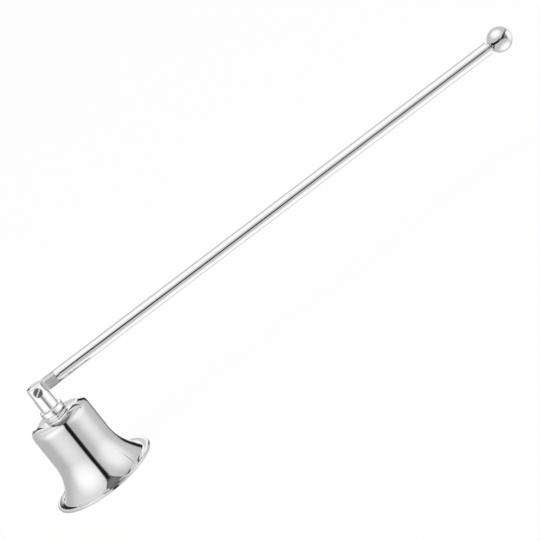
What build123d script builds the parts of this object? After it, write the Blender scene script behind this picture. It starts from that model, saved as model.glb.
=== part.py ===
from build123d import *
import math
import os

# Candle snuffer: a flared bell hung from a long round handle by a slotted hinge.
# Millimetres. The origin is the centre of the bell's mouth, in the plane of its rim.
# +Z is the bell's axis, up through the crown, and the handle at rest lies along +X.

# Bell
wall_radius = 12.25
wall_thickness = 0.9
crown_height = 30.05
shoulder_run = 3.65
shoulder_drop = 4.05
flare_radius = 18.2
flare_turn = 46.0
flange_width = 2.84
flange_thickness = 1.0
lip_round = 0.3

# Post on the crown
seat_ring_radius = 4.7
seat_ring_height = 0.5
seat_ring_round = 0.2
neck_radius = 4.1
neck_height = 0.4
collar_radius = 4.7
collar_height = 2.5
collar_round = 0.55
post_base_radius = 3.55
post_top_radius = 3.33
post_top_round = 0.35
pivot_above_collar = 7.75
post_above_pivot = 2.4

# Fastening inside the bell
spigot_radius = 2.0
thread_pitch = 0.7
thread_depth = 0.3
spigot_proud = 0.8
washer_radius = 4.5
washer_thickness = 0.8
lock_washer_radius = 3.7
lock_washer_thickness = 0.9
lock_washer_split = 0.7
lock_washer_slant = 20.0
nut_across_flats = 7.0
nut_height = 2.2
nut_chamfer = 0.35

# Pivot screw
screw_radius = 1.0
screw_head_radius = 1.7
screw_head_height = 0.85
screw_head_round = 0.2
screw_slot_width = 0.5
screw_slot_depth = 0.42
screw_slot_angle = 34.0
screw_end_recess = 0.15
screw_end_chamfer = 0.2
ear_web = 1.3

# Handle
tongue_thickness = 2.2
block_thickness = 3.8
block_length = 4.4
block_step_round = 0.5
plug_length = 12.0
plug_chamfer = 0.3
tube_radius = 2.5
tube_wall = 0.8
tube_length = 196.8
tube_end_round = 0.25
finial_neck_radius = 1.8
finial_neck_length = 0.7
finial_thread_radius = 1.25
finial_thread_length = 4.5
ball_radius = 4.75
ball_seat_margin = 0.25

# Clearances
bolt_clearance = 0.1
thread_clearance = 0.02
socket_clearance = 0.02
pivot_clearance = 0.05
slot_side_clearance = 0.1
slot_floor_clearance = 0.1
swing_clearance = 0.1
head_clearance = 0.12
drill_clearance = 0.5

# Handle length of a Bezier control arm that draws a quarter of an ellipse
QUARTER_ARM = 0.5523

# Levels up the bell's axis
flare_start = flange_thickness + flare_radius * math.sin(math.radians(flare_turn))
crown_inside = crown_height - wall_thickness
seat_ring_top = crown_height + seat_ring_height
collar_bottom = seat_ring_top + neck_height
collar_top = collar_bottom + collar_height
pivot_height = collar_top + pivot_above_collar
post_top = pivot_height + post_above_pivot
washer_bottom = crown_inside - washer_thickness
lock_washer_bottom = washer_bottom - lock_washer_thickness
nut_bottom = lock_washer_bottom - nut_height
spigot_end = nut_bottom - spigot_proud

# Radii about the bell's axis
crease_radius = wall_radius + flare_radius * (1 - math.cos(math.radians(flare_turn)))
rim_radius = crease_radius + flange_width
bolt_hole_radius = spigot_radius + bolt_clearance
post_slope = (post_base_radius - post_top_radius) / (post_top - collar_top)
post_pivot_radius = post_top_radius + post_slope * post_above_pivot

# Slot and tongue
tongue_radius = tube_radius
slot_half_width = tongue_thickness / 2 + slot_side_clearance
slot_floor = pivot_height - tongue_radius - slot_floor_clearance

# Stations along the handle
block_start = math.hypot(post_top_radius, post_above_pivot) + swing_clearance
tube_start = block_start + block_length
tube_end = tube_start + tube_length
tube_bore_radius = tube_radius - tube_wall
plug_radius = tube_bore_radius - socket_clearance
ball_face = tube_end + finial_neck_length
ball_seat_radius = finial_neck_radius + ball_seat_margin
ball_centre = ball_face + math.sqrt(ball_radius**2 - ball_seat_radius**2)


def outline_edges(corners):
    """Closed outline through (radius, height, round) corners, each rounded by its third value."""
    points = [Vector(r, 0, z) for r, z, _ in corners]
    entries, arcs = [], []
    for i, (_, _, rounding) in enumerate(corners):
        corner = points[i]
        if not rounding:
            entries.append((corner, corner))
            continue
        back = (points[i - 1] - corner).normalized()
        ahead = (points[(i + 1) % len(points)] - corner).normalized()
        half = math.radians(back.get_angle(ahead)) / 2
        reach = rounding / math.tan(half)
        middle = (back + ahead).normalized() * (rounding / math.sin(half) - rounding)
        start, end = corner + back * reach, corner + ahead * reach
        arcs.append(ThreePointArc(start, corner + middle, end))
        entries.append((start, end))
    lines = [
        Line(entries[i - 1][1], entries[i][0])
        for i in range(len(entries))
        if (entries[i - 1][1] - entries[i][0]).length > 1e-6
    ]
    return lines + arcs


def turned(edges):
    """Solid of revolution about Z from edges that close an outline in the XZ plane."""
    return revolve(make_face(edges), axis=Axis.Z, revolution_arc=360)


def along_x(solid, start):
    """Lays a solid built up Z along the handle's axis, from a station of the handle."""
    return Pos(start, 0, pivot_height) * Rot(0, 90, 0) * solid


def along_y(solid, start):
    """Lays a solid built up Z along the pivot's axis, from a distance off the bell's axis."""
    return Pos(0, start, pivot_height) * Rot(-90, 0, 0) * solid


def ring(outer, inner, bottom, top, rounding=0):
    """Flat ring about Z with its outer edges rounded."""
    return turned(outline_edges([
        (inner, bottom, 0),
        (outer, bottom, rounding),
        (outer, top, rounding),
        (inner, top, 0),
    ]))


def thread_outline(top, bottom):
    """Corners down a screw thread's flank from top to bottom, crest to crest."""
    turns = max(1, int((top - bottom) / thread_pitch))
    pitch = (top - bottom) / turns
    corners = []
    for i in range(turns):
        level = top - i * pitch
        corners.append((spigot_radius, level, 0))
        corners.append((spigot_radius - thread_depth, level - pitch / 2, 0))
    return corners


def skirt_point(centre_radius, angle):
    """Point on the skirt's arc, turned down from the wall by an angle in radians."""
    r = wall_radius + flare_radius - centre_radius * math.cos(angle)
    return Vector(r, 0, flare_start - centre_radius * math.sin(angle))


def shoulder(run, drop, top):
    """Quarter ellipse from the crown's flat out to the wall."""
    start = wall_radius - shoulder_run
    return Bezier(
        (start, 0, top),
        (start + run * QUARTER_ARM, 0, top),
        (start + run, 0, top - drop * (1 - QUARTER_ARM)),
        (start + run, 0, top - drop),
    )


def make_bell():
    """Thin spun shell: flat crown, rounded shoulder, straight wall, skirt and flat flange."""
    inner_flare = flare_radius + wall_thickness
    outer_turn = math.radians(flare_turn)
    inner_turn = math.asin(flare_start / inner_flare)
    outer_shoulder = shoulder(shoulder_run, shoulder_drop, crown_height)
    inner_shoulder = shoulder(shoulder_run - wall_thickness, shoulder_drop - wall_thickness, crown_inside)
    outer_skirt = ThreePointArc(
        skirt_point(flare_radius, 0),
        skirt_point(flare_radius, outer_turn / 2),
        skirt_point(flare_radius, outer_turn),
    )
    inner_skirt = ThreePointArc(
        skirt_point(inner_flare, inner_turn),
        skirt_point(inner_flare, inner_turn / 2),
        skirt_point(inner_flare, 0),
    )
    upper_round = flange_thickness - lip_round
    diagonal = lip_round * math.sqrt(0.5)
    lip_centre = rim_radius - lip_round
    lip_top = ThreePointArc(
        (lip_centre, 0, flange_thickness),
        (lip_centre + diagonal, 0, upper_round + diagonal),
        (rim_radius, 0, upper_round),
    )
    lip_bottom = ThreePointArc(
        (rim_radius, 0, lip_round),
        (lip_centre + diagonal, 0, lip_round - diagonal),
        (lip_centre, 0, 0),
    )
    hole_top = Vector(bolt_hole_radius, 0, crown_height)
    hole_bottom = Vector(bolt_hole_radius, 0, crown_inside)
    return turned([
        Line(hole_top, outer_shoulder @ 0),
        outer_shoulder,
        Line(outer_shoulder @ 1, outer_skirt @ 0),
        outer_skirt,
        Line(outer_skirt @ 1, lip_top @ 0),
        lip_top,
        Line(lip_top @ 1, lip_bottom @ 0),
        lip_bottom,
        Line(lip_bottom @ 1, inner_skirt @ 0),
        inner_skirt,
        Line(inner_skirt @ 1, inner_shoulder @ 1),
        inner_shoulder,
        Line(inner_shoulder @ 0, hole_bottom),
        Line(hole_bottom, hole_top),
    ])


def make_post():
    """Post with a bead collar and a threaded spigot, slotted for the tongue and bored for the screw."""
    post = turned(outline_edges(
        [
            (0, post_top, 0),
            (0, spigot_end, 0),
            (spigot_radius - thread_depth, spigot_end, 0),
        ]
        + thread_outline(crown_inside, spigot_end)[::-1]
        + [
            (spigot_radius, seat_ring_top, 0),
            (neck_radius, seat_ring_top, 0),
            (neck_radius, collar_bottom, 0),
            (collar_radius, collar_bottom, collar_round),
            (collar_radius, collar_top, collar_round),
            (post_base_radius, collar_top, 0),
            (post_top_radius, post_top, post_top_round),
        ]
    ))
    slot_depth = post_top - slot_floor
    slot = Pos(0, 0, slot_floor + slot_depth / 2) * Box(2 * collar_radius, 2 * slot_half_width, slot_depth)
    near_hole = along_y(
        extrude(Circle(screw_radius + bolt_clearance), collar_radius), -collar_radius
    )
    far_hole = along_y(extrude(Circle(screw_radius + thread_clearance), collar_radius), 0)
    head_seat = along_y(
        extrude(Circle(screw_head_radius + head_clearance), collar_radius),
        -slot_half_width - ear_web - collar_radius,
    )
    return post - slot - near_hole - far_hole - head_seat


def make_lock_washer():
    """Flattened spring washer, cut through at a slant."""
    washer = ring(lock_washer_radius, bolt_hole_radius, lock_washer_bottom, washer_bottom)
    middle = (lock_washer_bottom + washer_bottom) / 2
    cut = Pos(lock_washer_radius, 0, middle) * Rot(lock_washer_slant, 0, 0) * Box(
        2 * (lock_washer_radius - bolt_hole_radius) + lock_washer_radius,
        lock_washer_split,
        3 * lock_washer_thickness,
    )
    return washer - cut


def make_nut():
    """Thin hexagon nut with its corners turned off above and below."""
    half_flats = nut_across_flats / 2
    corner_radius = half_flats / math.cos(math.pi / 6)
    blank = extrude(RegularPolygon(half_flats, 6, major_radius=False), nut_height)
    bore = spigot_radius + thread_clearance
    envelope = turned(outline_edges([
        (bore, nut_bottom, 0),
        (half_flats, nut_bottom, 0),
        (corner_radius, nut_bottom + nut_chamfer, 0),
        (corner_radius, lock_washer_bottom - nut_chamfer, 0),
        (half_flats, lock_washer_bottom, 0),
        (bore, lock_washer_bottom, 0),
    ]))
    return (Pos(0, 0, nut_bottom) * blank) & envelope


def make_screw():
    """Slotted cheese-head screw across the hinge, its end just inside the far ear."""
    seat = -slot_half_width - ear_web
    shank_length = post_pivot_radius - screw_end_recess - seat
    blank = turned(outline_edges([
        (0, -screw_head_height, 0),
        (0, shank_length, 0),
        (screw_radius - screw_end_chamfer, shank_length, 0),
        (screw_radius, shank_length - screw_end_chamfer, 0),
        (screw_radius, 0, 0),
        (screw_head_radius, 0, 0),
        (screw_head_radius, -screw_head_height, screw_head_round),
    ]))
    slot = Pos(0, seat - screw_head_height, pivot_height) * Rot(0, -screw_slot_angle, 0) * Box(
        3 * screw_head_radius, 2 * screw_slot_depth, screw_slot_width
    )
    return along_y(blank, seat) - slot


def make_tongue():
    """Round bar with milled flats, thinned to a round-ended tongue, with a plug that fills the tube's end."""
    bar = along_x(extrude(Circle(tongue_radius), 2 * tongue_radius + tube_start), -2 * tongue_radius)
    tongue_outline = Circle(tongue_radius) + Pos(tube_start / 2, 0) * Rectangle(tube_start, 2 * tongue_radius)
    tongue = Pos(0, tongue_thickness / 2, pivot_height) * Rot(90, 0, 0) * extrude(tongue_outline, tongue_thickness)
    slab = Box(block_length, block_thickness, 2 * tongue_radius)
    step_edges = slab.edges().filter_by(Axis.Z).sort_by(Axis.X)[:2]
    slab = fillet(step_edges, block_step_round)
    blade = tongue + Pos(block_start + block_length / 2, 0, pivot_height) * slab
    plug = along_x(
        turned(outline_edges([
            (0, 0, 0),
            (plug_radius, 0, 0),
            (plug_radius, plug_length - plug_chamfer, 0),
            (plug_radius - plug_chamfer, plug_length, 0),
            (0, plug_length, 0),
        ])),
        tube_start,
    )
    bore = along_y(
        extrude(Circle(screw_radius + pivot_clearance), block_thickness), -block_thickness / 2
    )
    return (bar & blade) + plug - bore


def make_tube():
    """Straight round tube with softened ends."""
    return along_x(ring(tube_radius, tube_bore_radius, 0, tube_length, tube_end_round), tube_start)


def make_finial_stud():
    """Plug in the tube's end, a short neck and a threaded end for the ball."""
    return along_x(
        turned(outline_edges([
            (0, -plug_length, 0),
            (plug_radius - plug_chamfer, -plug_length, 0),
            (plug_radius, plug_chamfer - plug_length, 0),
            (plug_radius, 0, 0),
            (finial_neck_radius, 0, 0),
            (finial_neck_radius, finial_neck_length, 0),
            (finial_thread_radius, finial_neck_length, 0),
            (finial_thread_radius, finial_neck_length + finial_thread_length, 0),
            (0, finial_neck_length + finial_thread_length, 0),
        ])),
        tube_end,
    )


def make_ball():
    """Ball with a flat seat and a blind hole towards the handle."""
    ball = Pos(ball_centre, 0, pivot_height) * Sphere(ball_radius)
    seat = along_x(extrude(Circle(ball_radius), ball_radius), ball_face - ball_radius)
    hole = along_x(
        extrude(Circle(finial_thread_radius + thread_clearance), finial_thread_length + drill_clearance),
        ball_face,
    )
    return ball - seat - hole


nodes = {
    "bell": make_bell(),
    "seat_ring": ring(seat_ring_radius, bolt_hole_radius, crown_height, seat_ring_top, seat_ring_round),
    "hinge_post": make_post(),
    "inner_washer": ring(washer_radius, bolt_hole_radius, washer_bottom, crown_inside),
    "lock_washer": make_lock_washer(),
    "retaining_nut": make_nut(),
    "pivot_screw": make_screw(),
    "hinge_tongue": make_tongue(),
    "handle_tube": make_tube(),
    "finial_stud": make_finial_stud(),
    "ball_finial": make_ball(),
}

os.makedirs("parts", exist_ok=True)
for name, solid in nodes.items():
    export_step(solid, f"parts/{name}.step")
    print(name, "volume", round(solid.volume, 2))
print("rim radius", round(rim_radius, 3), "pivot", round(pivot_height, 3), "ball", round(ball_centre, 3))
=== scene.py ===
import math

import bmesh
import bpy
from mathutils import Matrix, Vector


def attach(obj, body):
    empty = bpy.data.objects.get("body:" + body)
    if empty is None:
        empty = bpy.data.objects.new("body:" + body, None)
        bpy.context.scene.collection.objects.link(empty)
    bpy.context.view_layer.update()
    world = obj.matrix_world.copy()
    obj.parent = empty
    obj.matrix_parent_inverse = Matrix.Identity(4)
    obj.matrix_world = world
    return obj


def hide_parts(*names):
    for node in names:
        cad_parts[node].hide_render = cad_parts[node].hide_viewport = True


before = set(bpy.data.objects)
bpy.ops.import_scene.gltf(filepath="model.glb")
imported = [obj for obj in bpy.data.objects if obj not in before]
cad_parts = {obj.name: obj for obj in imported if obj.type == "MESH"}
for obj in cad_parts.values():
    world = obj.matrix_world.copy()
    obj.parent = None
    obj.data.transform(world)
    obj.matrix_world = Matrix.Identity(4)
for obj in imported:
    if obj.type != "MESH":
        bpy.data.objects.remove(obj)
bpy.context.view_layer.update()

MM = 0.001

# Bell, in millimetres: radii about its axis, heights above the plane of the rim
WALL_RADIUS = 12.25
WALL_THICKNESS = 0.9
CROWN_HEIGHT = 30.05
CROWN_RISE = 0.05
SHOULDER_RUN = 5.5
SHOULDER_DROP = 4.05
SHOULDER_FULLNESS = 2.9  # 2 is an ellipse, more is fuller
FLARE_RADIUS = 18.2
FLARE_TURN = math.radians(46.0)
FLANGE_WIDTH = 2.84
FLANGE_THICKNESS = 1.0
FLANGE_DISH = 0.045
FLANGE_LOW = 0.7  # share of the flange's width at which its dish is lowest
LIP_ROUND = 0.3
CREASE_SOFTNESS = 0.22

# Post
SEAT_RING_RADIUS = 4.7
SEAT_RING_HEIGHT = 0.5
SEAT_RING_ROUND = 0.2
NECK_RADIUS = 4.1
NECK_HEIGHT = 0.4
COLLAR_RADIUS = 4.7
COLLAR_HEIGHT = 2.5
COLLAR_ROUND = 0.55
COLLAR_FILLET = 0.25
POST_BASE_RADIUS = 3.55
POST_TOP_RADIUS = 3.33
POST_TOP_ROUND = 0.35
POST_DOME = 0.2
PIVOT_ABOVE_COLLAR = 7.75
POST_ABOVE_PIVOT = 2.4
EAR_WEB = 1.3
SPIGOT_RADIUS = 2.0
SPIGOT_LENGTH = 4.7
THREAD_PITCH = 0.7
THREAD_DEPTH = 0.3

# Pivot screw
SCREW_RADIUS = 1.0
SCREW_HEAD_RADIUS = 1.7
SCREW_HEAD_HEIGHT = 0.85
SCREW_HEAD_ROUND = 0.2
SCREW_SLOT_WIDTH = 0.5
SCREW_SLOT_DEPTH = 0.42
SCREW_SLOT_ANGLE = math.radians(34.0)
SCREW_END = 3.23

# Handle: stations along X from the pivot
TONGUE_THICKNESS = 2.2
BLOCK_THICKNESS = 3.8
BLOCK_START = 4.205  # clears the post's top edge as the handle swings
BLOCK_LENGTH = 4.4
BLOCK_STEP = 0.5
TUBE_RADIUS = 2.5
TUBE_WALL = 0.8
TUBE_LENGTH = 196.8
TUBE_END_ROUND = 0.25
PLUG_LENGTH = 12.0
PLUG_ROUND = 0.3
FINIAL_NECK_RADIUS = 1.8
FINIAL_NECK_LENGTH = 0.7
FINIAL_THREAD_RADIUS = 1.25
FINIAL_THREAD_LENGTH = 4.5
BALL_RADIUS = 4.75
BALL_SEAT_MARGIN = 0.25

# Clearances
BOLT_CLEARANCE = 0.1
THREAD_CLEARANCE = 0.02
SOCKET_CLEARANCE = 0.02
PIVOT_CLEARANCE = 0.05
SLOT_SIDE_CLEARANCE = 0.1
SLOT_FLOOR_CLEARANCE = 0.1
HEAD_CLEARANCE = 0.12
DRILL_CLEARANCE = 0.5

# Broken edges of the cut pieces
EDGE_BREAK = 0.07
SCREW_EDGE_BREAK = 0.03
EDGE_STEPS = 3
SHARP_EDGE = math.radians(38.0)

# Levels, radii and stations that follow from the sizes above
CROWN_INSIDE = CROWN_HEIGHT - WALL_THICKNESS
CROWN_FLAT_RADIUS = WALL_RADIUS - SHOULDER_RUN
SHOULDER_LEVEL = CROWN_HEIGHT - SHOULDER_DROP
FLARE_START = FLANGE_THICKNESS + FLARE_RADIUS * math.sin(FLARE_TURN)
CREASE_RADIUS = WALL_RADIUS + FLARE_RADIUS * (1 - math.cos(FLARE_TURN))
RIM_RADIUS = CREASE_RADIUS + FLANGE_WIDTH
BOLT_HOLE_RADIUS = SPIGOT_RADIUS + BOLT_CLEARANCE
SPIGOT_END = CROWN_INSIDE - SPIGOT_LENGTH
SEAT_RING_TOP = CROWN_HEIGHT + SEAT_RING_HEIGHT
COLLAR_BOTTOM = SEAT_RING_TOP + NECK_HEIGHT
COLLAR_TOP = COLLAR_BOTTOM + COLLAR_HEIGHT
PIVOT_HEIGHT = COLLAR_TOP + PIVOT_ABOVE_COLLAR
POST_TOP = PIVOT_HEIGHT + POST_ABOVE_PIVOT
SLOT_FLOOR = PIVOT_HEIGHT - TUBE_RADIUS - SLOT_FLOOR_CLEARANCE
SLOT_HALF_WIDTH = TONGUE_THICKNESS / 2 + SLOT_SIDE_CLEARANCE
SCREW_SEAT = SLOT_HALF_WIDTH + EAR_WEB
HEAD_SEAT_RADIUS = SCREW_HEAD_RADIUS + HEAD_CLEARANCE
TUBE_START = BLOCK_START + BLOCK_LENGTH
TUBE_END = TUBE_START + TUBE_LENGTH
TUBE_BORE_RADIUS = TUBE_RADIUS - TUBE_WALL
PLUG_RADIUS = TUBE_BORE_RADIUS - SOCKET_CLEARANCE
BALL_HOLE_RADIUS = FINIAL_THREAD_RADIUS + THREAD_CLEARANCE
BALL_HOLE_DEPTH = FINIAL_THREAD_LENGTH + DRILL_CLEARANCE
BALL_SEAT_RADIUS = FINIAL_NECK_RADIUS + BALL_SEAT_MARGIN
BALL_FACE = TUBE_END + FINIAL_NECK_LENGTH
BALL_CENTRE = BALL_FACE + math.sqrt(BALL_RADIUS**2 - BALL_SEAT_RADIUS**2)

# Mesh density and tolerances
STEP = 0.3
FLANGE_STEP = 0.1
TUBE_STEP = 2.0
ARC_STEPS = 10
DOME_STEPS = 12
SHOULDER_STEPS = 64
INNER_SHOULDER_STEPS = 40
SKIRT_STEPS = 64
ROUND_END_STEPS = 48
BALL_STEPS = 96
BELL_SEGMENTS = 192
POST_SEGMENTS = 128
ROD_SEGMENTS = 96
BALL_SEGMENTS = 128
WELD = 1e-8
ON_AXIS = 1e-6

# Finishes: tones from black to white, shade and shine as shares of a tone, lines per metre along X, Y and Z
PLATE_TONE = 0.87
PLATE_ROUGHNESS = (0.025, 0.07)
HAZE_SHADE = 0.965
HAZE_ENDS = (0.35, 0.75)
# tone of the painted shade in the gap under the collar
SEAM_SHADE_TONE = 0.16
STEEL_SHADE = 0.82
STEEL_SHINE = 1.12
GRAIN_SHARE = 0.45
LIGHTENED_TONE = 0.93
LIGHTENED_ROUGHNESS = 0.42
RAMP_ENDS = (0.3, 0.7)
TURNED_LINES = (60.0, 60.0, 5200.0)
DRAWN_LINES = (25.0, 4200.0, 4200.0)

# Painted shade in the gap under the collar and wear in the driver slot, in millimetres
SEAM_BOTTOM = SEAT_RING_TOP - 0.05
SEAM_TOP = SEAT_RING_TOP + 0.25
SEAM_SOFTNESS = 0.04
SEAM_REACH = 0.8 * NECK_RADIUS
SLOT_WEAR_DEPTH = 0.2
SLOT_WEAR_FADE = 1.2  # share of the slot's half width by which the wear is gone

# Camera: fitted to the photograph's outlines, 540 pixels square
IMAGE_SIZE = 540
SENSOR = 36.0
FOCAL_PIXELS = 3060.0
CAMERA_DISTANCE = 1113.7
CAMERA_ELEVATION = math.radians(16.88)
CAMERA_ROLL = math.radians(37.23)
CAMERA_TARGET = Vector((93.68, 0.0, 24.29))
NEAR_CLIP = 0.01

# Stage, in metres
TENT_RADIUS = 2.5
TENT_SEGMENTS = 48
FLOOR_SIZE = 6.0
FLOOR_DROP = 0.0002
FLOOR_TONE = 0.9
FLOOR_WHITENESS = 0.94
SOFT_LIGHT = 0.72
KEY_PLACE = (-0.5, -0.6, 1.3)
KEY_TARGET = (0.1, 0, 0)
KEY_SIZE = 0.9
KEY_POWER = 6.0


def span(start, end, step=STEP):
    """Evenly spaced points from start up to, but not including, end."""
    length = math.hypot(end[0] - start[0], end[1] - start[1])
    count = max(1, math.ceil(length / step))
    return [
        (start[0] + (end[0] - start[0]) * i / count, start[1] + (end[1] - start[1]) * i / count)
        for i in range(count)
    ]


def sweep(centre, radii, start, end, count=ARC_STEPS):
    """Points on an arc of an ellipse from angle start up to, but not including, end."""
    return [
        (
            centre[0] + radii[0] * math.cos(start + (end - start) * i / count),
            centre[1] + radii[1] * math.sin(start + (end - start) * i / count),
        )
        for i in range(count)
    ]


def bend(start, corner, end, count=ARC_STEPS):
    """Points on a soft bend drawn towards a corner, from start up to, but not including, end."""
    points = []
    for i in range(count):
        t = i / count
        shares = ((1 - t) ** 2, 2 * t * (1 - t), t**2)
        pulls = list(zip(shares, (start, corner, end)))
        points.append(tuple(sum(share * point[k] for share, point in pulls) for k in (0, 1)))
    return points


def rounded(corners, closed, step=STEP):
    """Dense outline through (radius, height, round) corners, each rounded by its third value."""
    outline = []
    last = len(corners) - 1
    ends = []
    for i, (x, y, rounding) in enumerate(corners):
        here = Vector((x, y))
        if not rounding:
            ends.append((here, here, None))
            continue
        back = (Vector(corners[i - 1][:2]) - here).normalized()
        ahead = (Vector(corners[(i + 1) % len(corners)][:2]) - here).normalized()
        half = back.angle(ahead) / 2
        reach = rounding / math.tan(half)
        centre = here + (back + ahead).normalized() * (rounding / math.sin(half))
        ends.append((here + back * reach, here + ahead * reach, centre))
    for i, (start, end, centre) in enumerate(ends):
        if centre is not None:
            a, b = start - centre, end - centre
            turn = math.atan2(a.x * b.y - a.y * b.x, a.dot(b))
            first = math.atan2(a.y, a.x)
            radius = a.length
            outline += sweep(centre, (radius, radius), first, first + turn)
        if i < last or closed:
            following = ends[(i + 1) % len(ends)][0]
            outline += span(end, following, step)
        else:
            outline.append(tuple(end))
    return outline


def new_object(name, bm):
    """Object from a bmesh, shaded smooth, with its faces turned outwards."""
    bmesh.ops.remove_doubles(bm, verts=bm.verts, dist=WELD)
    bmesh.ops.recalc_face_normals(bm, faces=bm.faces)
    for face in bm.faces:
        face.smooth = True
    mesh = bpy.data.meshes.new(name)
    bm.to_mesh(mesh)
    bm.free()
    piece = bpy.data.objects.new(name, mesh)
    bpy.context.scene.collection.objects.link(piece)
    return piece


def lathe(name, outline, segments, closed=False, place=Matrix()):
    """Turned piece: an outline of (radius, height) points in millimetres swept about Z, then placed."""
    bm = bmesh.new()
    rings = []
    for radius, height in outline:
        if radius < ON_AXIS:
            rings.append([bm.verts.new(place @ Vector((0, 0, height * MM)))])
            continue
        ring = []
        for i in range(segments):
            turn = 2 * math.pi * i / segments
            point = Vector((radius * math.cos(turn), radius * math.sin(turn), height)) * MM
            ring.append(bm.verts.new(place @ point))
        rings.append(ring)
    pairs = list(zip(rings[:-1], rings[1:]))
    if closed:
        pairs.append((rings[-1], rings[0]))
    for a, b in pairs:
        for i in range(segments):
            j = (i + 1) % segments
            if len(a) == 1:
                bm.faces.new((a[0], b[i], b[j]))
            elif len(b) == 1:
                bm.faces.new((a[i], a[j], b[0]))
            else:
                bm.faces.new((a[i], a[j], b[j], b[i]))
    return new_object(name, bm)


def along_x(station):
    """Placement that lays Z along the handle's axis, from a station in millimetres."""
    return Matrix.Translation(Vector((station, 0, PIVOT_HEIGHT)) * MM) @ Matrix.Rotation(math.pi / 2, 4, "Y")


def along_y():
    """Placement that lays Z along the pivot's axis."""
    return Matrix.Translation(Vector((0, 0, PIVOT_HEIGHT)) * MM) @ Matrix.Rotation(-math.pi / 2, 4, "X")


def block(name, size, centre, turn=Matrix()):
    """Plain box, used as a cutter."""
    bm = bmesh.new()
    bmesh.ops.create_cube(bm, size=1.0)
    place = Matrix.Translation(Vector(centre) * MM) @ turn @ Matrix.Diagonal((*(s * MM for s in size), 1))
    bmesh.ops.transform(bm, matrix=place, verts=bm.verts)
    return new_object(name, bm)


def pin(name, radius, start, end):
    """Plain pin along the pivot's axis, used as a cutter."""
    outline = [(0, start), (radius, start), (radius, end), (0, end)]
    return lathe(name, outline, ROD_SEGMENTS, place=along_y())


def carve(piece, cutters, edge=EDGE_BREAK, keep=()):
    """Keeps what lies in the keep shapes, cuts the cutters out and breaks the sharp edges."""
    for operation, shapes in (("INTERSECT", keep), ("DIFFERENCE", cutters)):
        for shape in shapes:
            cut = piece.modifiers.new(shape.name, "BOOLEAN")
            cut.operation = operation
            cut.solver = "EXACT"
            cut.object = shape
    soften = piece.modifiers.new("edges", "BEVEL")
    soften.width = edge * MM
    soften.segments = EDGE_STEPS
    soften.limit_method = "ANGLE"
    soften.angle_limit = SHARP_EDGE
    soften.harden_normals = True
    settle(piece)
    for shape in (*keep, *cutters):
        bpy.data.objects.remove(shape)


def settle(piece):
    """Turns a piece's modifiers into plain mesh."""
    graph = bpy.context.evaluated_depsgraph_get()
    mesh = bpy.data.meshes.new_from_object(piece.evaluated_get(graph), depsgraph=graph)
    piece.modifiers.clear()
    piece.data = mesh


def shoulder(run, drop, start, end, count):
    """Points on a fuller than elliptic shoulder from angle start up to, but not including, end."""
    points = []
    for i in range(count):
        turn = start + (end - start) * i / count
        points.append((
            CROWN_FLAT_RADIUS + run * max(0.0, math.cos(turn)) ** (2 / SHOULDER_FULLNESS),
            SHOULDER_LEVEL + drop * max(0.0, math.sin(turn)) ** (2 / SHOULDER_FULLNESS),
        ))
    return points


def skirt_point(radius, turn):
    """Point on one of the skirt's two concentric arcs, turned down from the wall."""
    return (WALL_RADIUS + FLARE_RADIUS - radius * math.cos(turn), FLARE_START - radius * math.sin(turn))


def skirt(radius, start, end):
    """Points on an arc of the skirt from angle start up to, but not including, end."""
    return [skirt_point(radius, start + (end - start) * i / SKIRT_STEPS) for i in range(SKIRT_STEPS)]


def bell_outline():
    """Closed section of the shell: crown, shoulder, wall, skirt, flange, then back up the inside."""
    inner_wall = WALL_RADIUS - WALL_THICKNESS
    inner_flare = FLARE_RADIUS + WALL_THICKNESS
    inner_turn = math.asin(FLARE_START / inner_flare)
    quarter = math.pi / 2
    crease_turn = FLARE_TURN - CREASE_SOFTNESS / FLARE_RADIUS
    lip = RIM_RADIUS - LIP_ROUND
    flange_start = CREASE_RADIUS + CREASE_SOFTNESS
    fall = 2 * FLANGE_DISH / (FLANGE_LOW * (lip - flange_start))
    flange_level = FLANGE_THICKNESS - fall * CREASE_SOFTNESS

    def dished(radius):
        """Height of the flange's top at a radius."""
        towards_low = (radius - flange_start) / (lip - flange_start) / FLANGE_LOW
        return flange_level - FLANGE_DISH * (1 - (1 - towards_low) ** 2)

    crown = [
        (r, z + CROWN_RISE * (1 - (r / CROWN_FLAT_RADIUS) ** 2))
        for r, z in span((BOLT_HOLE_RADIUS, CROWN_HEIGHT), (CROWN_FLAT_RADIUS, CROWN_HEIGHT))
    ]
    crease = bend(
        skirt_point(FLARE_RADIUS, crease_turn),
        (CREASE_RADIUS, FLANGE_THICKNESS),
        (flange_start, flange_level),
    )
    flange = [(r, dished(r)) for r, _ in span((flange_start, 0), (lip, 0), FLANGE_STEP)]
    lip_top = flange[-1][1]
    return (
        crown
        + shoulder(SHOULDER_RUN, SHOULDER_DROP, quarter, 0, SHOULDER_STEPS)
        + span((WALL_RADIUS, SHOULDER_LEVEL), (WALL_RADIUS, FLARE_START))
        + skirt(FLARE_RADIUS, 0, crease_turn)
        + crease
        + flange
        + sweep((lip, lip_top - LIP_ROUND), (LIP_ROUND, LIP_ROUND), quarter, 0)
        + span((RIM_RADIUS, lip_top - LIP_ROUND), (RIM_RADIUS, LIP_ROUND))
        + sweep((lip, LIP_ROUND), (LIP_ROUND, LIP_ROUND), 0, -quarter)
        + span((lip, 0), skirt_point(inner_flare, inner_turn))
        + skirt(inner_flare, inner_turn, 0)
        + span((inner_wall, FLARE_START), (inner_wall, SHOULDER_LEVEL))
        + shoulder(
            SHOULDER_RUN - WALL_THICKNESS, SHOULDER_DROP - WALL_THICKNESS, 0, quarter, INNER_SHOULDER_STEPS
        )
        + span((CROWN_FLAT_RADIUS, CROWN_INSIDE), (BOLT_HOLE_RADIUS, CROWN_INSIDE))
        + span((BOLT_HOLE_RADIUS, CROWN_INSIDE), (BOLT_HOLE_RADIUS, CROWN_HEIGHT))
    )


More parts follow.
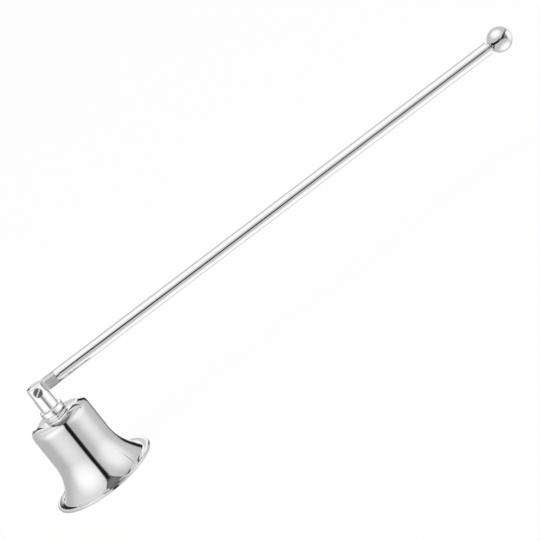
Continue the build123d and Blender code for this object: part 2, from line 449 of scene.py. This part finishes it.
def post_outline():
    """Section of the post from the foot of its threaded spigot up to its top."""
    turns = int((CROWN_INSIDE - SPIGOT_END) / THREAD_PITCH)
    pitch = (CROWN_INSIDE - SPIGOT_END) / turns
    root = SPIGOT_RADIUS - THREAD_DEPTH
    # Corners of one thread: radius and share of the pitch
    thread_form = ((root, 0.25), (SPIGOT_RADIUS, 0.6), (SPIGOT_RADIUS, 0.75), (root, 1))
    corners = [(0, SPIGOT_END, 0), (root, SPIGOT_END, 0)]
    for i in range(turns):
        corners += [(radius, SPIGOT_END + (i + share) * pitch, 0) for radius, share in thread_form]
    corners += [
        (SPIGOT_RADIUS, CROWN_INSIDE, 0),
        (SPIGOT_RADIUS, SEAT_RING_TOP, 0),
        (NECK_RADIUS, SEAT_RING_TOP, 0),
        (NECK_RADIUS, COLLAR_BOTTOM, 0),
        (COLLAR_RADIUS, COLLAR_BOTTOM, COLLAR_ROUND),
        (COLLAR_RADIUS, COLLAR_TOP, COLLAR_ROUND),
        (POST_BASE_RADIUS, COLLAR_TOP, COLLAR_FILLET),
        (POST_TOP_RADIUS, POST_TOP - POST_DOME, POST_TOP_ROUND),
    ]
    for i in range(DOME_STEPS, -1, -1):
        out = i / DOME_STEPS * (1 - 2 * POST_TOP_ROUND / POST_TOP_RADIUS)
        corners.append((POST_TOP_RADIUS * out, POST_TOP - POST_DOME * out**2, 0))
    return rounded(corners, closed=False)


def make_post():
    """Slotted post, bored for the pivot screw and counterbored for its head."""
    post = lathe("post_with_slot", post_outline(), POST_SEGMENTS)
    wide = 3 * COLLAR_RADIUS
    slot_height = 2 * (POST_TOP - SLOT_FLOOR)
    cutters = [
        block("slot", (wide, 2 * SLOT_HALF_WIDTH, slot_height), (0, 0, SLOT_FLOOR + slot_height / 2)),
        pin("pivot_hole", SCREW_RADIUS, -COLLAR_RADIUS, COLLAR_RADIUS),
        pin("head_seat", HEAD_SEAT_RADIUS, -2 * COLLAR_RADIUS, -SCREW_SEAT),
    ]
    carve(post, cutters)
    return post


def make_screw():
    """Slotted cheese-head pivot screw."""
    top = -SCREW_SEAT - SCREW_HEAD_HEIGHT
    outline = rounded([
        (0, top, 0),
        (SCREW_HEAD_RADIUS, top, SCREW_HEAD_ROUND),
        (SCREW_HEAD_RADIUS, -SCREW_SEAT, 0),
        (SCREW_RADIUS, -SCREW_SEAT, 0),
        (SCREW_RADIUS, SCREW_END, SCREW_HEAD_ROUND),
        (0, SCREW_END, 0),
    ], closed=False)
    screw = lathe("slotted_screw", outline, ROD_SEGMENTS, place=along_y())
    slot = block(
        "driver_slot",
        (4 * SCREW_HEAD_RADIUS, 2 * SCREW_SLOT_DEPTH, SCREW_SLOT_WIDTH),
        (0, top, PIVOT_HEIGHT),
        Matrix.Rotation(-SCREW_SLOT_ANGLE, 4, "Y"),
    )
    carve(screw, [slot], edge=SCREW_EDGE_BREAK)
    return screw


def extruded(name, outline, half, place):
    """Solid from a closed (x, y) outline in millimetres, half a thickness to each side, then placed."""
    bm = bmesh.new()
    sides = [[bm.verts.new(place @ (Vector((x, y, z)) * MM)) for x, y in outline] for z in (-half, half)]
    for side in sides:
        bm.faces.new(side)
    for i in range(len(outline)):
        j = (i + 1) % len(outline)
        bm.faces.new((sides[0][i], sides[0][j], sides[1][j], sides[1][i]))
    return new_object(name, bm)


def make_tongue():
    """Round bar with milled flats, thinned to a round-ended tongue, with its plug up the tube."""
    reach = 2 * TUBE_RADIUS
    tongue = lathe(
        "tongue_bar", [(0, -reach), (TUBE_RADIUS, -reach), (TUBE_RADIUS, TUBE_START), (0, TUBE_START)],
        ROD_SEGMENTS, place=along_x(0),
    )
    thin, thick = TONGUE_THICKNESS / 2, BLOCK_THICKNESS / 2
    flats = rounded([
        (-reach, -thin, 0),
        (BLOCK_START, -thin, 0),
        (BLOCK_START, -thick, BLOCK_STEP),
        (TUBE_START + reach, -thick, 0),
        (TUBE_START + reach, thick, 0),
        (BLOCK_START, thick, BLOCK_STEP),
        (BLOCK_START, thin, 0),
        (-reach, thin, 0),
    ], closed=True, step=reach)
    round_end = sweep((0, 0), (TUBE_RADIUS, TUBE_RADIUS), math.pi / 2, 1.5 * math.pi, ROUND_END_STEPS)
    round_end += [(0, -TUBE_RADIUS), (TUBE_START + reach, -TUBE_RADIUS), (TUBE_START + reach, TUBE_RADIUS)]
    level = Matrix.Translation(Vector((0, 0, PIVOT_HEIGHT)) * MM)
    keep = [
        extruded("flats", flats, reach, level),
        extruded("round_end", round_end, reach, level @ Matrix.Rotation(math.pi / 2, 4, "X")),
    ]
    bore = pin("tongue_bore", SCREW_RADIUS + PIVOT_CLEARANCE, -COLLAR_RADIUS, COLLAR_RADIUS)
    carve(tongue, [bore], keep=keep)
    plug = lathe("plug", rounded([
        (0, 0, 0),
        (PLUG_RADIUS, 0, 0),
        (PLUG_RADIUS, PLUG_LENGTH, PLUG_ROUND),
        (0, PLUG_LENGTH, 0),
    ], closed=False), ROD_SEGMENTS, place=along_x(TUBE_START))
    joined = bmesh.new()
    for part in (tongue, plug):
        joined.from_mesh(part.data)
    bpy.data.objects.remove(plug)
    joined.to_mesh(tongue.data)
    joined.free()
    return tongue


def make_stud():
    """Plug in the tube's end, the short neck that carries the ball and the pin inside the ball."""
    pin_end = FINIAL_NECK_LENGTH + FINIAL_THREAD_LENGTH
    outline = rounded([
        (0, -PLUG_LENGTH, 0),
        (PLUG_RADIUS, -PLUG_LENGTH, PLUG_ROUND),
        (PLUG_RADIUS, 0, 0),
        (FINIAL_NECK_RADIUS, 0, 0),
        (FINIAL_NECK_RADIUS, FINIAL_NECK_LENGTH, 0),
        (FINIAL_THREAD_RADIUS, FINIAL_NECK_LENGTH, 0),
        (FINIAL_THREAD_RADIUS, pin_end, 0),
        (0, pin_end, 0),
    ], closed=False)
    return lathe("neck_stud", outline, ROD_SEGMENTS, place=along_x(TUBE_END))


def make_ball():
    """Ball with a small flat seat and a blind hole towards the handle."""
    seat = math.asin(BALL_SEAT_RADIUS / BALL_RADIUS)
    face = -math.cos(seat) * BALL_RADIUS
    hole_end = face + BALL_HOLE_DEPTH
    outline = [(0, hole_end), (BALL_HOLE_RADIUS, hole_end)]
    outline += span((BALL_HOLE_RADIUS, face), (BALL_SEAT_RADIUS, face))
    for i in range(BALL_STEPS):
        turn = seat + (math.pi - seat) * i / BALL_STEPS
        outline.append((math.sin(turn) * BALL_RADIUS, -math.cos(turn) * BALL_RADIUS))
    outline.append((0, BALL_RADIUS))
    return lathe("end_ball", outline, BALL_SEGMENTS, place=along_x(BALL_CENTRE))


def grey(tone):
    """Opaque colour of a tone from black to white."""
    return (tone, tone, tone, 1)


class Nodes:
    """Short way to add and join shader nodes in one tree."""

    def __init__(self, tree):
        self.tree = tree
        tree.nodes.clear()

    def add(self, kind, inputs=None, **settings):
        """New node, with its inputs joined to sockets or set to values."""
        node = self.tree.nodes.new(kind)
        for name, value in settings.items():
            setattr(node, name, value)
        for key, value in (inputs or {}).items():
            if isinstance(value, bpy.types.NodeSocket):
                self.tree.links.new(value, node.inputs[key])
            else:
                node.inputs[key].default_value = value
        return node

    def place(self):
        """Position in the object's own frame, in metres."""
        return self.add("ShaderNodeTexCoord").outputs["Object"]

    def parts(self, vector):
        """X, Y and Z of a vector."""
        return self.add("ShaderNodeSeparateXYZ", {0: vector}).outputs

    def math(self, operation, *values):
        """Result of one operation on values."""
        return self.add("ShaderNodeMath", dict(enumerate(values)), operation=operation).outputs[0]

    def vector(self, operation, *values):
        """Outputs of one operation on vectors."""
        return self.add("ShaderNodeVectorMath", dict(enumerate(values)), operation=operation).outputs

    def degrees(self, angle):
        """Angle in radians turned into degrees."""
        return self.math("MULTIPLY", angle, 180 / math.pi)

    def mix(self, factor, a, b):
        """Value between a and b."""
        return self.add("ShaderNodeMix", {"Factor": factor, 2: a, 3: b}).outputs[0]

    def mix_colour(self, factor, a, b):
        """Colour between a and b."""
        return self.add("ShaderNodeMix", {"Factor": factor, 6: a, 7: b}, data_type="RGBA").outputs[2]

    def noise(self, place, scale, detail, roughness):
        """Uneven value that varies from place to place."""
        return self.add(
            "ShaderNodeTexNoise", {"Vector": place, "Scale": scale, "Detail": detail, "Roughness": roughness}
        ).outputs[0]

    def ramp(self, value, *tones):
        """Tone that follows a value, from the first tone to the second."""
        node = self.add("ShaderNodeValToRGB", {"Fac": value})
        for element, position, tone in zip(node.color_ramp.elements, RAMP_ENDS, tones):
            element.position = position
            element.color = grey(tone)
        return node.outputs[0]

    def remap(self, value, low, high, to_low=0.0, to_high=1.0, smooth=True):
        """Value between low and high turned into one between to_low and to_high, held beyond the ends."""
        node = self.add(
            "ShaderNodeMapRange",
            {"Value": value, "From Min": low, "From Max": high, "To Min": to_low, "To Max": to_high},
            interpolation_type="SMOOTHSTEP" if smooth else "LINEAR",
        )
        return node.outputs[0]

    def window(self, value, low, high, soft):
        """1 between low and high, with soft edges."""
        rise = self.remap(value, low - soft, low + soft)
        fall = self.remap(value, high - soft, high + soft, 1.0, 0.0)
        return self.math("MULTIPLY", rise, fall)

    def distance(self, a, b, middle_a, middle_b):
        """Distance of a pair of values from a middle pair."""
        pair = self.add("ShaderNodeCombineXYZ", {0: a, 1: b}).outputs[0]
        return self.vector("DISTANCE", pair, (middle_a, middle_b, 0))["Value"]


def new_material(name):
    """Empty material and its nodes."""
    material = bpy.data.materials.new(name)
    material.use_nodes = True
    return material, Nodes(material.node_tree)


def close_metal(n, colour, rough, height, strength, distance):
    """Joins a metal's colour, roughness and bump height to its shader."""
    bump = n.add("ShaderNodeBump", {"Height": height, "Strength": strength, "Distance": distance})
    surface = n.add("ShaderNodeBsdfPrincipled", {
        "Base Color": colour, "Metallic": 1.0, "Roughness": rough, "Normal": bump.outputs[0],
    })
    n.add("ShaderNodeOutputMaterial", {"Surface": surface.outputs[0]})


def in_seam_shade(n, place):
    """1 in the narrow gap under the post's collar, on the handle's side, where shade is painted."""
    x, _, z = n.parts(place)
    gap = n.window(z, SEAM_BOTTOM * MM, SEAM_TOP * MM, SEAM_SOFTNESS * MM)
    return n.math("MULTIPLY", gap, n.remap(x, 0, SEAM_REACH * MM))


def polished(name, line_scale, painted_shade=None):
    """Mirror-polished plate: faint handling haze, a trace of polishing lines, painted shade where masked."""
    material, n = new_material(name)
    place = n.place()
    haze = n.noise(place, scale=95.0, detail=5.0, roughness=0.6)
    stretched = n.vector("MULTIPLY", place, line_scale)["Vector"]
    lines = n.noise(stretched, scale=1.0, detail=3.0, roughness=0.5)
    colour = n.ramp(haze, HAZE_SHADE * PLATE_TONE, PLATE_TONE)
    if painted_shade:
        # painted shade: the masked gap under the collar is darkened to a dark tone
        colour = n.mix_colour(painted_shade(n, place), colour, grey(SEAM_SHADE_TONE))
    rough = n.remap(haze, *HAZE_ENDS, *PLATE_ROUGHNESS)
    close_metal(n, colour, rough, lines, strength=0.015, distance=0.00002)
    return material


def in_driver_slot(n, place):
    """1 in the screw's driver slot, where the driver has rubbed the steel bright and rough."""
    x, y, z = n.parts(place)
    across = n.math("MULTIPLY", n.math("SUBTRACT", z, PIVOT_HEIGHT * MM), math.cos(SCREW_SLOT_ANGLE))
    across = n.math("MULTIPLY_ADD", x, -math.sin(SCREW_SLOT_ANGLE), across)
    edge = SCREW_SLOT_WIDTH / 2 * MM
    return n.math(
        "MULTIPLY",
        n.remap(n.math("ABSOLUTE", across), edge, edge * SLOT_WEAR_FADE, 1, 0),
        n.remap(y, -SCREW_SEAT * MM, (SLOT_WEAR_DEPTH - SCREW_SEAT) * MM, 1, 0),
    )


def on_cheeks(n, place):
    """1 on the tongue's thin end, which is made lighter and rougher."""
    x = n.parts(place)[0]
    return n.remap(x, BLOCK_START * MM, (BLOCK_START + BLOCK_STEP) * MM, 1, 0)


def machined(name, tone, line_scale, rough, relief, lightened=None):
    """Bare steel with fine tool marks, small pits and uneven shine, lighter and rougher where masked."""
    material, n = new_material(name)
    place = n.place()
    stretched = n.vector("MULTIPLY", place, line_scale)["Vector"]
    marks = n.noise(stretched, scale=1.0, detail=6.0, roughness=0.65)
    grain = n.noise(place, scale=1800.0, detail=4.0, roughness=0.7)
    mixed = n.mix(GRAIN_SHARE, marks, grain)
    colour = n.ramp(mixed, STEEL_SHADE * tone, min(1.0, STEEL_SHINE * tone))
    dull = n.remap(mixed, *RAMP_ENDS, *rough)
    if lightened:
        mask = lightened(n, place)
        dull = n.mix(mask, dull, LIGHTENED_ROUGHNESS)
        colour = n.mix_colour(mask, colour, grey(LIGHTENED_TONE))
    close_metal(n, colour, dull, mixed, strength=relief, distance=0.00005)
    return material


def dress(piece, material, slot, body, *nodes):
    """Gives a piece its finish and its body, and hides the CAD nodes it stands for; the slot is not used."""
    piece.data.materials.clear()
    piece.data.materials.append(material)
    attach(piece, body)
    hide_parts(*nodes)


bell_finish = polished("bell_polish", TURNED_LINES)
# the hinge's finish carries the painted shade in the gap under the collar
hinge_finish = polished("hinge_polish", TURNED_LINES, in_seam_shade)
handle_finish = polished("handle_polish", DRAWN_LINES)
tongue_finish = machined(
    # the tongue's thin end is made lighter and rougher than the rest of the tongue
    "milled_steel", tone=0.7, line_scale=(2600.0, 500.0, 260.0), rough=(0.36, 0.5), relief=0.1, lightened=on_cheeks
)
screw_finish = machined(
    "screw_steel", tone=0.42, line_scale=(900.0, 900.0, 900.0), rough=(0.05, 0.1), relief=0.03,
    lightened=in_driver_slot,
)
hardware_finish = machined(
    "plain_steel", tone=0.6, line_scale=(700.0, 700.0, 3000.0), rough=(0.2, 0.34), relief=0.12
)

bell = lathe("bell_shell", bell_outline(), BELL_SEGMENTS, closed=True)
dress(bell, bell_finish, "bell_polish", "bell", "bell")

seat_ring = lathe("seat_ring_turned", rounded([
    (BOLT_HOLE_RADIUS, CROWN_HEIGHT, 0),
    (SEAT_RING_RADIUS, CROWN_HEIGHT, SEAT_RING_ROUND),
    (SEAT_RING_RADIUS, SEAT_RING_TOP, SEAT_RING_ROUND),
    (BOLT_HOLE_RADIUS, SEAT_RING_TOP, 0),
], closed=True), POST_SEGMENTS, closed=True)
dress(seat_ring, hinge_finish, "hinge_polish", "bell", "seat_ring")

post = make_post()
dress(post, hinge_finish, "hinge_polish", "bell", "hinge_post")

screw = make_screw()
dress(screw, screw_finish, "screw_steel", "bell", "pivot_screw")

tongue = make_tongue()
dress(tongue, tongue_finish, "milled_steel", "handle", "hinge_tongue")

tube = lathe("drawn_tube", rounded([
    (TUBE_BORE_RADIUS, 0, 0),
    (TUBE_RADIUS, 0, TUBE_END_ROUND),
    (TUBE_RADIUS, TUBE_LENGTH, TUBE_END_ROUND),
    (TUBE_BORE_RADIUS, TUBE_LENGTH, 0),
], closed=True, step=TUBE_STEP), ROD_SEGMENTS, closed=True, place=along_x(TUBE_START))
dress(tube, handle_finish, "handle_polish", "handle", "handle_tube")

stud = make_stud()
dress(stud, handle_finish, "handle_polish", "handle", "finial_stud")

ball = make_ball()
dress(ball, handle_finish, "handle_polish", "handle", "ball_finial")

hardware = [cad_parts[name] for name in ("inner_washer", "lock_washer", "retaining_nut")]
for node in hardware:
    node.data.materials.clear()
    node.data.materials.append(hardware_finish)

# Camera
scene = bpy.context.scene
camera_data = bpy.data.cameras.new("camera")
camera_data.sensor_width = SENSOR
camera_data.sensor_fit = "HORIZONTAL"
camera_data.lens = FOCAL_PIXELS / IMAGE_SIZE * SENSOR
camera_data.clip_start = NEAR_CLIP
camera = bpy.data.objects.new("camera", camera_data)
scene.collection.objects.link(camera)
forward = Vector((0, math.cos(CAMERA_ELEVATION), -math.sin(CAMERA_ELEVATION)))
level_right = Vector((1, 0, 0))
level_up = level_right.cross(forward)
right = level_right * math.cos(CAMERA_ROLL) - level_up * math.sin(CAMERA_ROLL)
up = level_right * math.sin(CAMERA_ROLL) + level_up * math.cos(CAMERA_ROLL)
position = (CAMERA_TARGET - forward * CAMERA_DISTANCE) * MM
camera.matrix_world = Matrix((
    (right.x, up.x, -forward.x, position.x),
    (right.y, up.y, -forward.y, position.y),
    (right.z, up.z, -forward.z, position.z),
    (0, 0, 0, 1),
))
scene.camera = camera


def directions(n):
    """Unit direction from a tent's middle, its azimuth from the camera's side and its elevation."""
    unit = n.vector("NORMALIZE", n.place())["Vector"]
    x, y, z = n.parts(unit)
    azimuth = n.degrees(n.math("ARCTAN2", x, n.math("MULTIPLY", y, -1.0)))
    elevation = n.degrees(n.math("ARCSINE", z))
    return unit, azimuth, elevation


def over_the_top(n, unit):
    """Sideways part of a direction and its angle from the camera's side up and over."""
    x, y, z = n.parts(unit)
    return x, n.degrees(n.math("ARCTAN2", z, n.math("MULTIPLY", y, -1.0)))


def off_rear(n, azimuth):
    """Angle to either side of straight behind."""
    return n.math("SUBTRACT", 180.0, n.math("ABSOLUTE", azimuth))


def aim(azimuth, elevation):
    """Unit direction of a pair of angles in degrees."""
    a, e = math.radians(azimuth), math.radians(elevation)
    return (math.cos(e) * math.sin(a), -math.cos(e) * math.cos(a), math.sin(e))


def lit(n, unit, level, lamps):
    """Adds soft round lamps, each (azimuth, elevation, full within, none beyond, gain), to a light level."""
    for azimuth, elevation, inner, outer, gain in lamps:
        towards = n.vector("DOT_PRODUCT", unit, aim(azimuth, elevation))["Value"]
        glow = n.remap(towards, math.cos(math.radians(outer)), math.cos(math.radians(inner)))
        level = n.math("MULTIPLY_ADD", glow, gain, level)
    return level


def shaded(n, level, value, *masks):
    """Blends a light level towards a value where all the masks are 1."""
    mask = masks[0]
    for other in masks[1:]:
        mask = n.math("MULTIPLY", mask, other)
    return n.mix(mask, level, value)


# The tents' light is laid out in degrees of azimuth, from the camera's side and positive to the right, and
# of elevation. A light level of 1 is white.


def behind_bell(n, level, azimuth, elevation):
    """Shades the tent behind the bell: grey above a level edge, dark curves to the right and to the left."""
    aside = off_rear(n, azimuth)
    level = shaded(n, level, 0.7, n.remap(aside, 8, 20, 1, 0), n.window(elevation, 15.2, 17.4, 0.8))
    # Right: a dark arch, the leaning band that it stands on, a grey patch beside it and a thin line over it
    right = n.remap(azimuth, 90, 100)
    away = n.distance(aside, elevation, 14, 7)
    level = shaded(
        n, level, 0.01, right, n.remap(away, 11, 13.5), n.remap(away, 22, 29, 1, 0),
        n.remap(aside, 5, 14), n.remap(elevation, -9, 0), n.remap(elevation, 25, 31, 1, 0),
    )
    upright = n.math("SUBTRACT", aside, n.remap(elevation, -16, 0, 0, 9))
    level = shaded(
        n, level, n.remap(elevation, -16, -3, 0.18, 0.01), right,
        n.window(upright, 15, 33, 4), n.window(elevation, -42, 2, 6),
    )
    level = shaded(n, level, 0.68, right, n.window(aside, 1.7, 6, 0.5), n.window(elevation, 14, 19, 0.8))
    thin_line = n.window(n.distance(aside, elevation, 36, 0), 39, 42.6, 1.2)
    level = shaded(
        n, level, 0.08, thin_line, right, n.remap(elevation, 17.5, 21), n.remap(aside, 20, 70, 1, 0)
    )
    # Left: a dark streak, the patch that it ends in, a slanting line low down and the link between them
    left = n.remap(azimuth, -90, -100)
    streak = n.window(n.distance(aside, elevation, 2, 4), 12.9, 16.6, 0.9)
    level = shaded(n, level, 0.03, streak, left, n.remap(aside, 1.0, 1.8), n.remap(elevation, 5, 11))
    level = shaded(n, level, 0.05, left, n.window(aside, 8.5, 16, 2), n.window(elevation, 5, 14.5, 2.5))
    slant = n.math("SUBTRACT", elevation, aside)
    level = shaded(n, level, 0.02, left, n.window(aside, 2, 12, 1.5), n.window(slant, -22, -15.5, 1.5))
    return shaded(n, level, 0.04, left, n.window(aside, 7, 15, 1), n.window(elevation, -10, -1, 1.5))


def over_bell(n, level, unit):
    """Shades the tent over the bell and before it: a grey strip with darker borders, a dark slit in front."""
    x, over = over_the_top(n, unit)
    half = n.math("MULTIPLY", n.remap(over, 50, 76, 0.1, 0.245), n.remap(over, 108, 165, 1, 0))
    off_middle = n.math("ABSOLUTE", n.math("SUBTRACT", x, n.remap(over, 112, 152, 0.06, 0)))
    beyond = n.math("SUBTRACT", off_middle, half)
    overhead = n.window(over, 52, 156, 3)
    level = shaded(n, level, n.remap(over, 80, 150, 0.19, 0.4), n.remap(beyond, -0.02, 0.03, 1, 0), overhead)
    level = shaded(n, level, 0.13, n.window(beyond, -0.035, 0.005, 0.012), overhead)
    from_left = n.math("SUBTRACT", x, n.remap(over, -10, 30, -0.087, -0.055))
    from_right = n.math("SUBTRACT", x, n.remap(over, 40, 65, 0.166, 0.1))
    slit = n.math("MULTIPLY", n.remap(from_left, -0.047, 0.047), n.remap(from_right, -0.06, 0.06, 1, 0))
    return shaded(n, level, 0.012, slit, n.window(over, -60, 57, 5))


def bell_light(n):
    """Pale tent round the bell: lamps at each side and behind, dark curves behind, a strip over the top."""
    unit, azimuth, elevation = directions(n)
    level = lit(n, unit, level=0.547, lamps=[
        (-44, 11, 1, 58, 0.38),
        (-68, 45, 12, 72, 0.25),
        (63, 13, 1, 53, 0.37),
        (86, 10, 25, 57, 0.11),
        (177, 4, 10, 30, 0.55),
        (180, 62, 5, 48, 0.25),
        (172, 25, 3, 14, 0.35),
    ])
    level = behind_bell(n, level, azimuth, elevation)
    return over_bell(n, level, unit)


def post_light(n):
    """Pale tent round the post: lamps all round, a narrow dark slit in front, grey low behind."""
    unit, azimuth, elevation = directions(n)
    level = lit(n, unit, level=0.56, lamps=[
        (-60, -2, 1, 60, 0.62),
        (63, -2, 1, 58, 0.62),
        (180, 18, 8, 42, 0.5),
        (-5, 28, 8, 40, 0.55),
    ])
    aside = off_rear(n, azimuth)
    level = shaded(n, level, 0.42, n.remap(aside, 40, 60, 1, 0), n.window(elevation, -30, 8, 3))
    left = n.remap(azimuth, -90, -100)
    level = shaded(n, level, 0.04, left, n.window(aside, 2.5, 14, 0.8), n.window(elevation, 8, 18.5, 1.5))
    return shaded(n, level, 0.28, n.window(azimuth, -15, 4, 2.5), n.window(elevation, -35, 10, 3))


def handle_light(n):
    """Pale tent round the handle: lamps above, below and at the end, a dark slit with forked ends."""
    unit, azimuth, elevation = directions(n)
    level = lit(n, unit, level=0.632, lamps=[
        (24, 84, 1, 54, 0.51),
        (26, -74, 1, 52, 0.52),
        (104, -12, 12, 38, 0.5),
    ])
    # Front: the slit, which rises to the right, with a short climb and two paler breaks
    middle = n.remap(azimuth, -105, -10, 2, 11, smooth=False)
    climb = n.math("MULTIPLY", n.remap(azimuth, -9, -7), n.remap(azimuth, -6.5, -1, 1, 0))
    middle = n.math("MULTIPLY_ADD", climb, 12.0, middle)
    slit = n.window(n.math("SUBTRACT", elevation, middle), -10, 10, 4)
    level = shaded(n, level, 0.02, n.window(azimuth, -112, 32, 5), slit)
    level = shaded(n, level, 0.12, n.window(azimuth, 2.5, 9.5, 1.5), slit)
    level = shaded(n, level, 0.3, n.window(azimuth, 9.5, 15, 1.5), slit)
    # Far left: a second branch that falls away from the slit
    along = n.math("MAXIMUM", n.remap(azimuth, -120, -65, smooth=False), 0.0)
    fallen = n.math("MULTIPLY_ADD", n.math("POWER", along, 1.8), 29.0, -27.0)
    falling = n.window(n.math("SUBTRACT", elevation, fallen), -6, 6, 2.5)
    level = shaded(n, level, 0.01, falling, n.window(azimuth, -132, -66, 4))
    # Right: a grey fork with a dark root, whose upper branch arches over the lamp at the end
    from_crest = n.math("MULTIPLY_ADD", azimuth, 1 / 15, -70 / 15)
    below_arch = n.math("SUBTRACT", 21.0, n.math("MULTIPLY", from_crest, from_crest))
    below_arch = n.math("SUBTRACT", below_arch, elevation)
    above_drop = n.math("SUBTRACT", elevation, n.math("MULTIPLY_ADD", azimuth, -0.78, 30.3))
    inside = n.math("MINIMUM", below_arch, above_drop)
    level = shaded(
        n, level, n.remap(azimuth, 34, 48, 0.03, 0.26),
        n.remap(inside, -2, 2), n.window(azimuth, 26, 67, 3),
    )
    level = shaded(
        n, level, n.remap(azimuth, 34, 58, 0.03, 0.25),
        n.window(above_drop, -4, 4, 2), n.window(azimuth, 22, 60, 4),
    )
    off_arch = n.math("ABSOLUTE", below_arch)
    beyond = n.math("SUBTRACT", off_arch, n.remap(azimuth, 50, 105, 8, 4, smooth=False))
    return shaded(
        n, level, n.remap(azimuth, 32, 110, 0.02, 0.22),
        n.remap(beyond, -2, 2, 1, 0), n.window(azimuth, 22, 130, 4),
    )


def tent(name, centre, light, receivers):
    """Light tent that only its receivers mirror."""
    bm = bmesh.new()
    bmesh.ops.create_uvsphere(bm, u_segments=TENT_SEGMENTS, v_segments=TENT_SEGMENTS // 2, radius=TENT_RADIUS)
    shell = new_object(name, bm)
    shell.location = centre
    to_camera = camera.location - shell.location
    shell.rotation_euler.z = math.atan2(to_camera.x, -to_camera.y)
    material, n = new_material(name)
    lamp = n.add("ShaderNodeEmission", {"Strength": light(n)})
    clear = n.add("ShaderNodeBsdfTransparent")
    both = n.add("ShaderNodeAddShader", {0: lamp.outputs[0], 1: clear.outputs[0]})
    n.add("ShaderNodeOutputMaterial", {"Surface": both.outputs[0]})
    shell.data.materials.append(material)
    shell.visible_camera = False
    shell.visible_diffuse = False
    shell.visible_shadow = False
    group = bpy.data.collections.new(name)
    for piece in receivers:
        group.objects.link(piece)
    shell.light_linking.receiver_collection = group


tent("bell_tent", (0, 0, 0.02), bell_light, [bell, *hardware])
tent("post_tent", (0, 0, 0.036), post_light, [seat_ring, post, screw])
tent("handle_tent", (0.1, 0, 0.041), handle_light, [tongue, tube, stud, ball])

# World: white behind everything, soft even light on the floor, nothing for mirrors, which have the tents
world = bpy.data.worlds.new("studio")
scene.world = world
world.use_nodes = True
n = Nodes(world.node_tree)
path = n.add("ShaderNodeLightPath").outputs
seen = n.math("MAXIMUM", path["Is Camera Ray"], path["Is Transmission Ray"])
soft = n.math("MULTIPLY", n.math("SUBTRACT", 1.0, path["Is Glossy Ray"]), SOFT_LIGHT)
backdrop = n.add("ShaderNodeBackground", {"Color": grey(1), "Strength": n.math("MAXIMUM", seen, soft)})
n.add("ShaderNodeOutputWorld", {"Surface": backdrop.outputs[0]})

# Floor: plain and pale, with a faint shadow
bm = bmesh.new()
bmesh.ops.create_grid(bm, x_segments=1, y_segments=1, size=FLOOR_SIZE)
floor = new_object("floor", bm)
floor.location.z = -FLOOR_DROP
floor_finish, n = new_material("floor")
matte = n.add("ShaderNodeBsdfDiffuse", {"Color": grey(FLOOR_TONE)})
white = n.add("ShaderNodeEmission", {"Strength": 1.0})
share = n.math("MULTIPLY", n.add("ShaderNodeLightPath").outputs["Is Camera Ray"], FLOOR_WHITENESS)
blend = n.add("ShaderNodeMixShader", {0: share, 1: matte.outputs[0], 2: white.outputs[0]})
n.add("ShaderNodeOutputMaterial", {"Surface": blend.outputs[0]})
floor.data.materials.append(floor_finish)
floor.visible_glossy = False

# Key lamp: shapes the shadow on the floor
key_data = bpy.data.lights.new("key", "AREA")
key_data.shape = "DISK"
key_data.size = KEY_SIZE
key_data.energy = KEY_POWER
key = bpy.data.objects.new("key", key_data)
key.location = KEY_PLACE
key.rotation_euler = (Vector(KEY_TARGET) - key.location).to_track_quat("-Z", "Y").to_euler()
key.visible_glossy = False
scene.collection.objects.link(key)

scene.view_settings.view_transform = "Standard"
